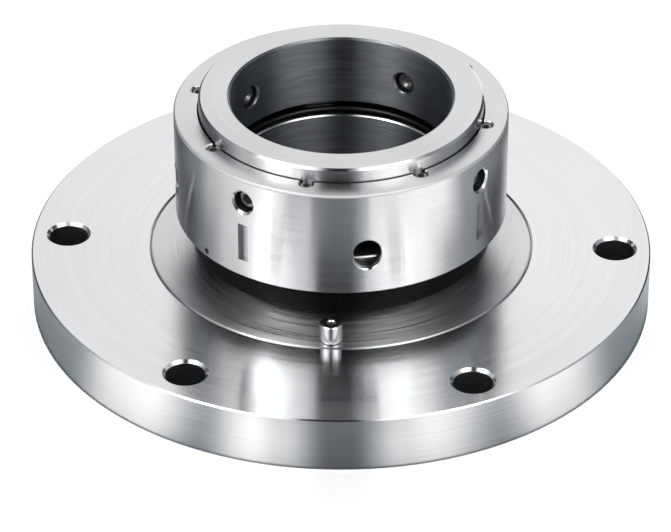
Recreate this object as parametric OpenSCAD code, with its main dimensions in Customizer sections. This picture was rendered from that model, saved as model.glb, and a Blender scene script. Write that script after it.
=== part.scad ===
// Agitator shaft seal: a mounting flange with a flush seat housing, and a
// rotating head that is clamped to the shaft and presses a black carbon ring
// on a fixed seat. Millimetres. The origin is the centre of the flange's
// underside, and +Z runs up along the shaft.

/* [Shaft] */
// Diameter of the shaft that the head grips
shaft_d = 80; // [76:0.5:84]

/* [Mounting flange] */
// Outer diameter of the flange
flange_d = 226; // [220:1:240]
// Thickness of the flange
flange_t = 21; // [18:0.5:26]
// Chamfer on the outer edges of the flange
flange_chamfer = 0.5; // [0.2:0.1:1.5]
// Distance from the flange's edge to the bolt holes' centres
bolt_inset = 13; // [10.5:0.5:15]
// Number of bolt holes
bolt_count = 6; // [4:1:12]
// Diameter of a bolt hole
bolt_hole_d = 14; // [10:0.5:16]
// Chamfer at the mouth of a bolt hole
bolt_chamfer = 1.1; // [0.5:0.1:2]
// Angle of the first bolt hole from +X
bolt_angle = -2.7; // [-30:0.1:30]
// Thickness of the ledge that the seat housing rests on
ledge_t = 9; // [8.5:0.5:11]
// Mean diameter of the sealing groove in the underside
flange_seal_d = 158; // [150:1:170]
// Cord of the O-ring in the underside
flange_cord = 4; // [3:0.2:5]

/* [Seat housing] */
// Width of the rim that lies on the flange's ledge
housing_rim = 13.4; // [12:0.1:15]
// Radial gap round the rim of the housing
housing_gap = 0.3; // [0.1:0.05:0.5]
// Chamfers along that gap
housing_chamfer = 0.45; // [0.2:0.05:0.8]
// Wall between the seat pocket and the spigot's outside
spigot_wall = 9.85; // [8:0.05:12]
// Distance that the spigot ends above the flange's underside
spigot_recess = 0.5; // [0.2:0.1:1.5]
// Cord of the O-ring round the spigot
housing_cord = 3; // [2:0.1:3.4]
// Number of screws that hold the housing from below
housing_screw_count = 6; // [4:1:8]
// Thread diameter of those screws
housing_screw_d = 6; // [5:0.5:6]
// Length of their shanks
housing_screw_len = 11; // [8:0.5:12]

/* [Locating pin] */
// Diameter of the pin on the housing
pin_d = 8; // [6:0.5:8.5]
// Height of the pin above the housing
pin_height = 7.2; // [5:0.1:9]
// Depth of the pin in the housing
pin_depth = 8; // [5:0.5:10]
// Distance from the housing's edge to the pin's centre
pin_inset = 5.6; // [4.8:0.1:7]
// Angle of the pin from +X
pin_angle = -93.1; // [-100:0.1:-80]

/* [Stationary seat] */
// Radial gap between shaft and seat
seat_gap = 1.2; // [0.8:0.1:1.6]
// Radial width of the seat
seat_width = 4.8; // [4.6:0.1:6]
// Length of the seat along the shaft
seat_len = 15; // [13:0.5:16]
// Height of the sealing face above the flange
seat_proud = 4.8; // [4:0.1:6]
// Cord of the O-ring round the seat
seat_cord = 2.2; // [1.8:0.1:2.6]
// Diameter of the dowels that hold the seat from turning
seat_pin_d = 2.5; // [2:0.1:2.8]
// Number of those dowels
seat_pin_count = 2; // [1:1:4]

/* [Rotating head] */
// Wall of the collar between shaft and barrel
collar_wall = 11.1; // [11:0.1:13]
// Height of the collar above the barrel
collar_proud = 5.4; // [4:0.1:9]
// Chamfer on the collar's top outer edge
collar_chamfer = 0.8; // [0.3:0.1:1.5]
// Chamfer at the ends of the collar's bore
bore_chamfer = 0.7; // [0.3:0.1:1.2]
// Thickness of the collar's lower shoulder
shoulder_t = 5.7; // [4:0.1:6.5]
// Radial thickness of the barrel's upper part
barrel_land = 8.85; // [8.5:0.05:10]
// Thickness of the barrel's lower wall
barrel_wall = 4.4; // [4:0.1:5]
// Length of the barrel
barrel_len = 40.3; // [39.5:0.1:45]
// Depth of the barrel's chamber from below
chamber_depth = 24.2; // [23.4:0.1:25]
// Chamfer on the barrel's edges
barrel_chamfer = 0.5; // [0.2:0.1:1]
// Height of the barrel above the sealing face
face_reach = 12; // [10.5:0.1:13]

/* [Screws in the head] */
// Number of radial set screws, slots and windows
quarter_count = 4; // [3:1:4]
// Angle of the first set screw from +X
set_screw_angle = -35; // [-60:1:0]
// Thread diameter of a set screw
set_screw_d = 8; // [6:0.5:8]
// Distance from the barrel's top to the set screws
set_screw_drop = 9.5; // [8.5:0.1:9.8]
// Distance of a set screw's outer end inside the barrel's surface
set_screw_sink = 3.2; // [1:0.1:4]
// Distance of a set screw's point outside the shaft
set_screw_back = 1.6; // [0.2:0.1:2.5]
// Number of upright lock screws
lock_screw_count = 8; // [4:1:8]
// Angle of the first lock screw from +X
lock_screw_angle = -13.2; // [-15:0.1:-11]
// Thread diameter of a lock screw
lock_screw_d = 5; // [4:0.5:5.5]
// Depth that a lock screw's hole bites into the collar
lock_screw_bite = 0.8; // [0.1:0.05:1]
// Length of a lock screw
lock_screw_len = 10; // [6:0.5:10.5]
// Height of the notch that a lock screw's hole leaves in the collar's wall
lock_notch = 0.8; // [0.2:0.1:2]
// Distance of a lock screw's top below the barrel's top
lock_screw_sink = 0.8; // [0.3:0.1:1]

/* [Windows, slots and keys] */
// Angle of the first window from +X
window_angle = -81.1; // [-84:0.1:-76]
// Width of a window in the barrel
window_w = 10; // [7:0.1:11]
// Height of a window
window_h = 11.5; // [11:0.1:12.5]
// Height of the windows' centres above the barrel's lower edge
window_rise = 15.7; // [14.5:0.1:16.5]
// Width of a slot and of the key in it
key_w = 4.2; // [3:0.1:5]
// Height of a slot and of its key
key_len = 14.9; // [13:0.1:16]
// Height of the slots above the barrel's lower edge
key_rise = 6.8; // [6.3:0.1:7.4]
// Depth of a key below the barrel's surface
key_sink = 2; // [1.5:0.1:3]
// Distance that a key reaches into the chamber
key_reach = 2.6; // [1.6:0.1:3]
// Diameter of the release hole for the snap ring
release_d = 2.4; // [1:0.1:2.6]
// Angle of the release hole from +X
release_angle = -142.6; // [-150:0.1:-140]

/* [Face carrier and carbon ring] */
// Radial gap between shaft and face carrier
carrier_gap = 0.3; // [0.2:0.05:0.5]
// Wall of the carrier's sleeve
carrier_wall = 3.2; // [2.8:0.05:3.4]
// Wall of the carrier's neck round the shaft O-ring
neck_wall = 0.9; // [0.7:0.05:1]
// Thickness of the carrier's rim
rim_t = 2; // [1.5:0.1:3]
// Height of the free space between rim and collar
spring_space = 6.4; // [5.7:0.1:6.7]
// Radial gap between the carrier's rim and the barrel
rim_gap = 0.3; // [0.25:0.05:0.4]
// Distance that the carrier can be pushed up
float_travel = 2; // [1:0.1:2.4]
// Radial gap between the carbon ring and the barrel
carbon_gap = 1.1; // [1:0.05:1.3]
// Thickness of the carbon ring's lip under the carrier
lip_t = 4.7; // [4:0.1:6]
// Chamfer on the carbon ring's lower edge
carbon_chamfer = 0.8; // [0.3:0.1:1.5]

/* [Springs] */
// Number of coil springs
spring_count = 8; // [4:4:8]
// Outer diameter of a spring
spring_d = 5.4; // [4.4:0.1:5.6]
// Wire diameter of a spring
spring_wire = 0.9; // [0.6:0.05:1.1]
// Turns of a spring
spring_turns = 6; // [4:1:7]
// Depth of a spring's pocket in the collar
pocket_depth = 7.7; // [5:0.1:7.9]

/* [Hidden] */

// Segments of a turned surface and of a drilled hole
turn_fn = 180;
hole_fn = 48;
// Cuts run past a face by this much
past = 1;
// Radial clearance of a fixed fit, and of an O-ring in its groove
fit_gap = 0.05;
seal_gap = 0.02;
// Clearance between parts that slide past each other
slide_gap = 0.3;
// Small edge break on turned rings
edge_break = 0.4;
// Chamfer at the mouth of a small hole, and of a set screw's hole
mouth_chamfer = 0.5;
set_mouth = 0.8;
// Width and depth of the dark joint between collar and barrel
joint_gap = 0.5;
joint_depth = 1.2;

// Radii, from the shaft outwards
shaft_r = shaft_d / 2;
seat_bore_r = shaft_r + seat_gap;
seat_r = seat_bore_r + seat_width;
seat_pocket_r = seat_r + 3 * fit_gap;
spigot_r = seat_pocket_r + spigot_wall;
housing_r = spigot_r + housing_rim;
recess_r = housing_r + housing_gap;
pin_r = housing_r - pin_inset;
flange_r = flange_d / 2;
bolt_circle_r = flange_r - bolt_inset;
collar_r = shaft_r + collar_wall;
land_r = collar_r + fit_gap;
barrel_r = land_r + barrel_land;
chamber_r = barrel_r - barrel_wall;
rim_r = chamber_r - rim_gap;
carbon_r = chamber_r - carbon_gap;
carrier_bore_r = shaft_r + carrier_gap;
sleeve_r = carrier_bore_r + carrier_wall;
neck_r = sleeve_r + neck_wall;

// Heights, from the flange's underside upwards
seat_face_z = flange_t + seat_proud;
seat_floor_z = seat_face_z - seat_len;
barrel_z0 = seat_face_z + face_reach;
barrel_z1 = barrel_z0 + barrel_len;
collar_z1 = barrel_z1 + collar_proud;
chamber_z1 = barrel_z0 + chamber_depth;
collar_z0 = chamber_z1 - shoulder_t;
rim_z1 = collar_z0 - spring_space;
rim_z0 = rim_z1 - rim_t;
neck_z1 = collar_z0 - float_travel - 2 * slide_gap;
sleeve_z0 = seat_face_z + lip_t;

// Housing screws: heads sunk in the ledge, shanks up into the rim
housing_head_d = housing_screw_d * 1.6;
housing_head_h = housing_screw_d;
housing_head_z0 = 0.2;
housing_screw_r = (spigot_r + recess_r) / 2;
housing_screw_angle = pin_angle + 30;
housing_socket_w = housing_screw_d * 0.83;

// Spigot groove, in the middle of the ledge's height
spigot_groove_w = housing_cord * 1.3;
spigot_groove_r = spigot_r + fit_gap - housing_cord;
spigot_groove_z = (spigot_recess + ledge_t) / 2;

// Groove round the seat, above the dowels' notches
seat_groove_w = seat_cord * 1.35;
seat_groove_r = seat_pocket_r - seat_cord;
seat_groove_z = seat_floor_z + 5.2;
seat_pin_r = (seat_bore_r + seat_r) / 2;
seat_pin_rise = 2.2;
seat_pin_depth = 5;
seat_notch_h = seat_pin_rise + slide_gap;

// Locating pin's tapped hole
pin_bore_d = pin_d * 0.28;
pin_bore_depth = pin_height * 0.7;

// Set screws and lock screws
set_screw_z = barrel_z1 - set_screw_drop;
set_screw_in_r = shaft_r + set_screw_back;
set_screw_out_r = barrel_r - set_screw_sink;
set_socket_w = set_screw_d * 0.5;
lock_screw_r = collar_r + lock_screw_d / 2 - lock_screw_bite;
lock_hole_z0 = barrel_z1 - lock_screw_sink - lock_screw_len - 1;
lock_screw_z0 = barrel_z1 - lock_screw_sink - lock_screw_len;
lock_socket_w = lock_screw_d * 0.5;

// Keys, and the room that the sliding parts leave round them
key_z0 = barrel_z0 + key_rise;
key_z1 = key_z0 + key_len;
key_out_r = barrel_r - key_sink;
key_in_r = chamber_r - key_reach;
key_room_w = key_w + 2 * slide_gap;
key_room_r = key_in_r - slide_gap;

// Snap ring and its groove
snap_t = 1.2;
snap_z0 = barrel_z0 + 1.4;
snap_in_r = carbon_r + slide_gap + fit_gap;
snap_out_r = chamber_r + 1.2;
snap_gap_angle = 12;

// Windows and springs stand between the set screws
window_z = barrel_z0 + window_rise;
spring_pocket_d = spring_d + 2 * slide_gap;
spring_r = neck_r + slide_gap + 4 * fit_gap + spring_d / 2;
spring_z1 = collar_z0 + pocket_depth;
spring_angle = set_screw_angle + 22.5;

// O-ring in the carrier's neck
neck_floor_z = rim_z1 + 0.7;
neck_lead = 0.5;

// Sides of a spring's wire, and steps in one turn
wire_sides = 6;
turn_steps = 12;

steel = [0.78, 0.79, 0.80];
dark_steel = [0.35, 0.36, 0.37];
carbon = [0.10, 0.10, 0.11];
ceramic = [0.22, 0.23, 0.24];
rubber = [0.05, 0.05, 0.05];

// A turned solid, from the half section given as [radius, height] points
module turned(section) {
    rotate_extrude($fn = turn_fn) polygon(section);
}

// Children repeated round the shaft's axis
module around(count, start = 0) {
    for (i = [0 : count - 1]) rotate([0, 0, start + i * 360 / count]) children();
}

// A round hole along +Z with a chamfered mouth at its top
module chamfered_hole(d, z0, z1, chamfer) {
    translate([0, 0, z0]) cylinder(h = z1 - z0 + past, d = d, $fn = hole_fn);
    translate([0, 0, z1 - chamfer])
        cylinder(h = 2 * chamfer, d1 = d, d2 = d + 4 * chamfer, $fn = hole_fn);
}

// A pipe or rod that points out from the shaft's axis along +X
module radial_rod(r0, r1, z, d0, d1) {
    translate([r0, 0, z]) rotate([0, 90, 0])
        cylinder(h = r1 - r0, d1 = d0, d2 = d1, $fn = hole_fn);
}

// A hexagon socket that opens towards +Z
module hexagon(w, h) {
    cylinder(h = h, d = w / cos(30), $fn = 6);
}

// A block centred on the +X direction
module radial_block(r0, r1, z0, z1, w) {
    translate([r0, -w / 2, z0]) cube([r1 - r0, w, z1 - z0]);
}

// An O-ring that fills the space between two radii
module o_ring(r0, r1, z) {
    cord = r1 - r0 - 2 * seal_gap;
    rotate_extrude($fn = turn_fn)
        translate([(r0 + r1) / 2, z]) circle(d = cord, $fn = hole_fn);
}

// A grub screw of length len on +Z: socket at the top, cup point at z = 0
module grub_screw(d, len, socket_w) {
    bevel = d * 0.12;
    difference() {
        union() {
            cylinder(h = bevel, d1 = d - 2 * bevel, d2 = d, $fn = hole_fn);
            translate([0, 0, bevel]) cylinder(h = len - 2 * bevel, d = d, $fn = hole_fn);
            translate([0, 0, len - bevel])
                cylinder(h = bevel, d1 = d, d2 = d - 2 * bevel, $fn = hole_fn);
        }
        translate([0, 0, len - d * 0.6]) hexagon(socket_w, d * 0.6 + past);
        translate([0, 0, -past])
            cylinder(h = past + bevel, d1 = d * 0.55 + 2 * past, d2 = d * 0.55 - 2 * bevel,
                $fn = hole_fn);
    }
}

// The ring that carries everything, with its bolt holes and its ledge
module mounting_flange() {
    c = flange_chamfer;
    h = housing_chamfer;
    section = [
        [spigot_r + fit_gap, 0],
        [flange_r - c, 0],
        [flange_r, c],
        [flange_r, flange_t - c],
        [flange_r - c, flange_t],
        [recess_r + h, flange_t],
        [recess_r, flange_t - h],
        [recess_r, ledge_t],
        [spigot_r + fit_gap, ledge_t]
    ];
    groove_r = flange_seal_d / 2;
    groove_w = flange_cord * 1.25;
    color(steel) difference() {
        turned(section);
        around(bolt_count, bolt_angle) translate([bolt_circle_r, 0, 0]) {
            chamfered_hole(bolt_hole_d, -past, flange_t, bolt_chamfer);
            mirror([0, 0, 1]) chamfered_hole(bolt_hole_d, -past, 0, edge_break);
        }
        turned([
            [groove_r - groove_w / 2, -past],
            [groove_r + groove_w / 2, -past],
            [groove_r + groove_w / 2, flange_cord],
            [groove_r - groove_w / 2, flange_cord]
        ]);
        around(housing_screw_count, housing_screw_angle) translate([housing_screw_r, 0, 0]) {
            translate([0, 0, -past]) cylinder(h = housing_head_h + housing_head_z0 + past,
                d = housing_head_d + 2 * slide_gap, $fn = hole_fn);
            cylinder(h = ledge_t + past, d = housing_screw_d + 2 * slide_gap, $fn = hole_fn);
        }
    }
}

// The O-ring in the flange's underside
module flange_o_ring() {
    r = flange_seal_d / 2;
    color(rubber) o_ring(r - flange_cord / 2, r + flange_cord / 2, flange_cord / 2);
}

// The flush disc: a rim on the ledge, a spigot in the flange, a pocket for the seat
module seat_housing() {
    h = housing_chamfer;
    e = edge_break;
    g = spigot_groove_w / 2;
    section = [
        [seat_bore_r + e, spigot_recess],
        [spigot_r - e, spigot_recess],
        [spigot_r, spigot_recess + e],
        [spigot_r, spigot_groove_z - g],
        [spigot_groove_r, spigot_groove_z - g],
        [spigot_groove_r, spigot_groove_z + g],
        [spigot_r, spigot_groove_z + g],
        [spigot_r, ledge_t],
        [housing_r, ledge_t],
        [housing_r, flange_t - h],
        [housing_r - h, flange_t],
        [seat_pocket_r + e, flange_t],
        [seat_pocket_r, flange_t - e],
        [seat_pocket_r, seat_floor_z],
        [seat_bore_r, seat_floor_z],
        [seat_bore_r, spigot_recess + e]
    ];
    tapped_depth = housing_screw_len + 1;
    color(steel) difference() {
        turned(section);
        around(housing_screw_count, housing_screw_angle)
            translate([housing_screw_r, 0, ledge_t - past])
                cylinder(h = tapped_depth - (ledge_t - housing_head_h - housing_head_z0) + past,
                    d = housing_screw_d + 2 * fit_gap, $fn = hole_fn);
        rotate([0, 0, pin_angle]) translate([pin_r, 0, flange_t - pin_depth])
            cylinder(h = pin_depth + past, d = pin_d + 2 * fit_gap, $fn = hole_fn);
        around(seat_pin_count) translate([seat_pin_r, 0, seat_floor_z - seat_pin_depth])
            cylinder(h = seat_pin_depth + past, d = seat_pin_d + 2 * fit_gap, $fn = hole_fn);
    }
}

// The O-ring round the housing's spigot
module housing_o_ring() {
    color(rubber) o_ring(spigot_groove_r, spigot_r + fit_gap, spigot_groove_z);
}

// Cap screws that hold the housing on its ledge, heads down
module housing_screws() {
    head_z1 = housing_head_z0 + housing_head_h;
    bevel = housing_screw_d * 0.1;
    color(dark_steel) around(housing_screw_count, housing_screw_angle)
        translate([housing_screw_r, 0, 0]) difference() {
            union() {
                translate([0, 0, housing_head_z0])
                    cylinder(h = bevel, d1 = housing_head_d - 2 * bevel, d2 = housing_head_d,
                        $fn = hole_fn);
                translate([0, 0, housing_head_z0 + bevel])
                    cylinder(h = housing_head_h - bevel, d = housing_head_d, $fn = hole_fn);
                translate([0, 0, head_z1])
                    cylinder(h = housing_screw_len, d = housing_screw_d, $fn = hole_fn);
            }
            translate([0, 0, housing_head_z0 - past])
                hexagon(housing_socket_w, housing_head_h * 0.5 + past);
        }
}

// The hard ring that the carbon ring runs on
module stationary_seat() {
    e = edge_break;
    g = seat_groove_w / 2;
    section = [
        [seat_bore_r, seat_floor_z],
        [seat_r - e, seat_floor_z],
        [seat_r, seat_floor_z + e],
        [seat_r, seat_groove_z - g],
        [seat_groove_r, seat_groove_z - g],
        [seat_groove_r, seat_groove_z + g],
        [seat_r, seat_groove_z + g],
        [seat_r, seat_face_z - e],
        [seat_r - e, seat_face_z],
        [seat_bore_r + e, seat_face_z],
        [seat_bore_r, seat_face_z - e]
    ];
    color(ceramic) difference() {
        turned(section);
        around(seat_pin_count)
            radial_block(seat_bore_r - past, seat_r + past, seat_floor_z - past,
                seat_floor_z + seat_notch_h, seat_pin_d + 2 * slide_gap);
    }
}

// The O-ring round the seat
module seat_o_ring() {
    color(rubber) o_ring(seat_groove_r, seat_pocket_r, seat_groove_z);
}

// Dowels in the pocket's floor, which stand in the seat's notches
module seat_pins() {
    color(steel) around(seat_pin_count) translate([seat_pin_r, 0, seat_floor_z - seat_pin_depth])
        cylinder(h = seat_pin_depth + seat_pin_rise, d = seat_pin_d, $fn = hole_fn);
}

// The pin that stands on the housing, with a tapped hole to pull it by
module locating_pin() {
    z0 = flange_t - pin_depth;
    z1 = flange_t + pin_height;
    color(steel) rotate([0, 0, pin_angle]) translate([pin_r, 0, 0]) difference() {
        union() {
            translate([0, 0, z0]) cylinder(h = z1 - z0 - edge_break, d = pin_d, $fn = hole_fn);
            translate([0, 0, z1 - edge_break])
                cylinder(h = edge_break, d1 = pin_d, d2 = pin_d - 2 * edge_break, $fn = hole_fn);
        }
        chamfered_hole(pin_bore_d, z1 - pin_bore_depth, z1, mouth_chamfer);
    }
}

// The holes along the joint of collar and barrel that take the lock screws
module lock_holes(z1) {
    around(lock_screw_count, lock_screw_angle) translate([lock_screw_r, 0, 0]) {
        translate([0, 0, lock_hole_z0])
            cylinder(h = z1 - lock_hole_z0, d = lock_screw_d + 2 * fit_gap, $fn = hole_fn);
    }
}

// The radial holes that take the set screws
module set_screw_holes() {
    d = set_screw_d + 2 * fit_gap;
    around(quarter_count, set_screw_angle) {
        radial_rod(shaft_r - past, barrel_r + past, set_screw_z, d, d);
        radial_rod(barrel_r - set_mouth, barrel_r + set_mouth, set_screw_z, d,
            d + 4 * set_mouth);
        radial_rod(shaft_r - 2 * mouth_chamfer, shaft_r + mouth_chamfer, set_screw_z,
            d + 6 * mouth_chamfer, d);
    }
}

// The inner ring of the head, which grips the shaft and takes the springs
module drive_collar() {
    c = collar_chamfer;
    b = bore_chamfer;
    e = edge_break;
    shoulder_r = chamber_r - fit_gap;
    section = [
        [shaft_r, collar_z0 + b],
        [shaft_r + b, collar_z0],
        [shoulder_r - e, collar_z0],
        [shoulder_r, collar_z0 + e],
        [shoulder_r, chamber_z1],
        [collar_r, chamber_z1],
        [collar_r, collar_z1 - c],
        [collar_r - c, collar_z1],
        [shaft_r + b, collar_z1],
        [shaft_r, collar_z1 - b]
    ];
    color(steel) difference() {
        turned(section);
        set_screw_holes();
        lock_holes(barrel_z1 + lock_notch);
        around(spring_count, spring_angle) translate([spring_r, 0, collar_z0 - past])
            cylinder(h = pocket_depth + past, d = spring_pocket_d, $fn = hole_fn);
        around(quarter_count, set_screw_angle)
            radial_block(key_in_r - fit_gap, chamber_r + past, collar_z0 - past,
                key_z1 + fit_gap, key_w + 2 * fit_gap);
    }
}

// One window: an upright oblong hole with a chamfered mouth
module window() {
    rise = (window_h - window_w) / 2;
    for (z = [window_z - rise, window_z + rise]) {
        radial_rod(chamber_r - past, barrel_r + past, z, window_w, window_w);
        radial_rod(barrel_r - mouth_chamfer, barrel_r + mouth_chamfer, z, window_w,
            window_w + 4 * mouth_chamfer);
    }
    radial_block(chamber_r - past, barrel_r + past, window_z - rise, window_z + rise, window_w);
}

// The outer sleeve, with its windows, slots and screw holes
module outer_barrel() {
    c = barrel_chamfer;
    e = edge_break;
    section = [
        [chamber_r + e, barrel_z0],
        [barrel_r - c, barrel_z0],
        [barrel_r, barrel_z0 + c],
        [barrel_r, barrel_z1 - c],
        [barrel_r - c, barrel_z1],
        [land_r + joint_gap, barrel_z1],
        [land_r + joint_gap, barrel_z1 - joint_depth],
        [land_r, barrel_z1 - joint_depth - joint_gap],
        [land_r, chamber_z1],
        [chamber_r, chamber_z1],
        [chamber_r, snap_z0 + snap_t + fit_gap],
        [snap_out_r + fit_gap, snap_z0 + snap_t + fit_gap],
        [snap_out_r + fit_gap, snap_z0 - fit_gap],
        [chamber_r, snap_z0 - fit_gap],
        [chamber_r, barrel_z0 + e]
    ];
    color(steel) difference() {
        turned(section);
        set_screw_holes();
        lock_holes(barrel_z1 + past);
        around(lock_screw_count, lock_screw_angle)
            translate([lock_screw_r, 0, barrel_z1 - edge_break])
                cylinder(h = 2 * edge_break, d1 = lock_screw_d + 2 * fit_gap,
                    d2 = lock_screw_d + 2 * fit_gap + 4 * edge_break, $fn = hole_fn);
        around(quarter_count, window_angle) window();
        around(quarter_count, set_screw_angle)
            radial_block(chamber_r - past, barrel_r + past, key_z0, key_z1, key_w);
        rotate([0, 0, release_angle])
            radial_rod(chamber_r - past, barrel_r + past, snap_z0 + snap_t,
                release_d, release_d);
    }
}

// Radial set screws, cup points towards the shaft
module set_screws() {
    color(dark_steel) around(quarter_count, set_screw_angle)
        translate([set_screw_in_r, 0, set_screw_z]) rotate([0, 90, 0])
            grub_screw(set_screw_d, set_screw_out_r - set_screw_in_r, set_socket_w);
}

// Upright lock screws along the joint of collar and barrel
module lock_screws() {
    color(dark_steel) around(lock_screw_count, lock_screw_angle)
        translate([lock_screw_r, 0, lock_screw_z0])
            grub_screw(lock_screw_d, lock_screw_len, lock_socket_w);
}

// Keys in the barrel's slots, which turn the face carrier with the head
module drive_keys() {
    color(steel) around(quarter_count, set_screw_angle)
        radial_block(key_in_r, key_out_r, key_z0 + fit_gap, key_z1 - fit_gap,
            key_w - 2 * fit_gap);
}

// The open ring that keeps the sliding parts in the barrel
module snap_ring() {
    color(dark_steel) rotate([0, 0, release_angle + snap_gap_angle / 2])
        rotate_extrude(angle = 360 - snap_gap_angle, $fn = turn_fn)
            translate([snap_in_r, snap_z0]) square([snap_out_r - snap_in_r, snap_t]);
}

// The steel ring that holds the carbon ring and slides along the shaft
module face_carrier() {
    e = edge_break;
    section = [
        [carrier_bore_r, sleeve_z0],
        [sleeve_r, sleeve_z0],
        [sleeve_r, rim_z0],
        [rim_r, rim_z0],
        [rim_r, rim_z1 - e],
        [rim_r - e, rim_z1],
        [neck_r, rim_z1],
        [neck_r, neck_z1],
        [sleeve_r, neck_z1],
        [sleeve_r, neck_floor_z],
        [carrier_bore_r + neck_lead, neck_floor_z],
        [carrier_bore_r, neck_floor_z - neck_lead]
    ];
    color(steel) difference() {
        turned(section);
        around(quarter_count, set_screw_angle)
            radial_block(key_room_r, rim_r + past, rim_z0 - past, rim_z1 + past, key_room_w);
    }
}

// The black ring, shrunk on the carrier, with its sealing face below
module carbon_face_ring() {
    c = carbon_chamfer;
    section = [
        [seat_bore_r + fit_gap * 4, seat_face_z],
        [carbon_r - c, seat_face_z],
        [carbon_r, seat_face_z + c],
        [carbon_r, rim_z0],
        [sleeve_r, rim_z0],
        [sleeve_r, sleeve_z0],
        [seat_bore_r + fit_gap * 4, sleeve_z0]
    ];
    color(carbon) difference() {
        turned(section);
        around(quarter_count, set_screw_angle)
            radial_block(key_room_r, carbon_r + past, key_z0 - float_travel - slide_gap,
                rim_z0 + past, key_room_w);
    }
}

// The O-ring that seals the carrier on the shaft
module shaft_o_ring() {
    color(rubber) o_ring(shaft_r, sleeve_r, neck_floor_z + (sleeve_r - shaft_r) / 2);
}

// Centre of the wire after a share t of the spring's height, ends closed
function spring_point(t, z0, z1) =
    let (turns = spring_turns,
        end = 1 / turns,
        rise = t < end ? 0 : (t > 1 - end ? 1 : (t - end) / (1 - 2 * end)),
        low = min(t, end) / end,
        high = max(t - 1 + end, 0) / end,
        w = spring_wire * 1.02,
        free = z1 - z0 - 3 * w)
    [t * turns * 360, z0 + w / 2 + (low + high) * w + rise * free];

// A coil spring on +Z, swept from rings of points round its wire
module coil_spring(z0, z1) {
    steps = spring_turns * turn_steps;
    coil_r = (spring_d - spring_wire) / 2;
    rings = [for (i = [0 : steps])
        let (p = spring_point(i / steps, z0, z1))
        [for (k = [0 : wire_sides - 1])
            let (a = k * 360 / wire_sides,
                r = coil_r + spring_wire / 2 * cos(a))
            [r * cos(p[0]), r * sin(p[0]), p[1] + spring_wire / 2 * sin(a)]]];
    points = [for (ring = rings) for (p = ring) p];
    sides = [for (i = [0 : steps - 1]) for (k = [0 : wire_sides - 1])
        let (a = i * wire_sides + k,
            b = i * wire_sides + (k + 1) % wire_sides)
        [a, b, b + wire_sides, a + wire_sides]];
    first = [for (k = [wire_sides - 1 : -1 : 0]) k];
    last = [for (k = [0 : wire_sides - 1]) steps * wire_sides + k];
    polyhedron(points = points, faces = concat(sides, [first], [last]), convexity = 8);
}

// One of the springs between the carrier's rim and the collar's pockets
module spring_at(index) {
    if (index <= spring_count)
        color(steel) rotate([0, 0, spring_angle + (index - 1) * 360 / spring_count])
            translate([spring_r, 0, 0]) coil_spring(rim_z1, spring_z1);
}

mounting_flange();
flange_o_ring();
seat_housing();
housing_o_ring();
housing_screws();
stationary_seat();
seat_o_ring();
seat_pins();
locating_pin();
drive_collar();
outer_barrel();
set_screws();
lock_screws();
drive_keys();
snap_ring();
face_carrier();
carbon_face_ring();
shaft_o_ring();
spring_at(1);  // coil_spring_1
spring_at(2);  // coil_spring_2
spring_at(3);  // coil_spring_3
spring_at(4);  // coil_spring_4
spring_at(5);  // coil_spring_5
spring_at(6);  // coil_spring_6
spring_at(7);  // coil_spring_7
spring_at(8);  // coil_spring_8
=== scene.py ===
"""Agitator shaft seal on a studio floor.

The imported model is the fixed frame. This script gives each of its pieces a machined,
moulded or drawn finish, winds the springs, and lights the seal in a light tent.
"""

import logging
import math
from dataclasses import dataclass, replace
from enum import Enum
from functools import cache

import bmesh
import bpy
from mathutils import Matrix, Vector

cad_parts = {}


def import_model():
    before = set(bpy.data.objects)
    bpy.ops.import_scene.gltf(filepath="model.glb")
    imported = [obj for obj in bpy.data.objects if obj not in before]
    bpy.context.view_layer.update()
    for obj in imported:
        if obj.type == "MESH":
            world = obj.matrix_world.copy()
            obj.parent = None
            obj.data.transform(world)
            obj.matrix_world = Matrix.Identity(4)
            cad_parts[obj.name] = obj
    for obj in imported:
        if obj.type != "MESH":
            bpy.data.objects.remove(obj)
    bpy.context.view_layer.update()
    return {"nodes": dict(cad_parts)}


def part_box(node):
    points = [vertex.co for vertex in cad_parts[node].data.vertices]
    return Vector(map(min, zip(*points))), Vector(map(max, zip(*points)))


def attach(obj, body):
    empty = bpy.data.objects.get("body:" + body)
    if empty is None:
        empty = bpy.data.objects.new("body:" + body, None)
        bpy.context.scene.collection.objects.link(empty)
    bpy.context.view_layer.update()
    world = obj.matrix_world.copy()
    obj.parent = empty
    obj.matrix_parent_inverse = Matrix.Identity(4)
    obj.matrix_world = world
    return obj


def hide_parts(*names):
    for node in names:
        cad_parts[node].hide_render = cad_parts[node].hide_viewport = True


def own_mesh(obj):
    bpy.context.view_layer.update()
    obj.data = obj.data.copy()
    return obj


LOG = logging.getLogger("agitator_seal")

MM = 0.001
WHITE = (1.0, 1.0, 1.0)

Colour = tuple[float, float, float]
Point = tuple[float, float, float]
Span = tuple[float, float]
Socket = bpy.types.NodeSocket
Input = float | tuple[float, ...] | Socket


class Kind(Enum):
    """The shader nodes that the finishes are made of."""

    OUTPUT = "ShaderNodeOutputMaterial"
    PRINCIPLED = "ShaderNodeBsdfPrincipled"
    DIFFUSE = "ShaderNodeBsdfDiffuse"
    EMISSION = "ShaderNodeEmission"
    ADD_SHADER = "ShaderNodeAddShader"
    COORDINATES = "ShaderNodeTexCoord"
    SEPARATE = "ShaderNodeSeparateXYZ"
    COMBINE = "ShaderNodeCombineXYZ"
    TANGENT = "ShaderNodeTangent"
    NOISE = "ShaderNodeTexNoise"
    RAMP = "ShaderNodeValToRGB"
    MAP_RANGE = "ShaderNodeMapRange"
    MATH = "ShaderNodeMath"
    VECTOR_MATH = "ShaderNodeVectorMath"
    BUMP = "ShaderNodeBump"
    ATTRIBUTE = "ShaderNodeAttribute"
    LIGHT_PATH = "ShaderNodeLightPath"


def opaque(colour: Colour) -> tuple[float, float, float, float]:
    """Give a colour full alpha."""
    return (*colour, 1.0)


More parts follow.
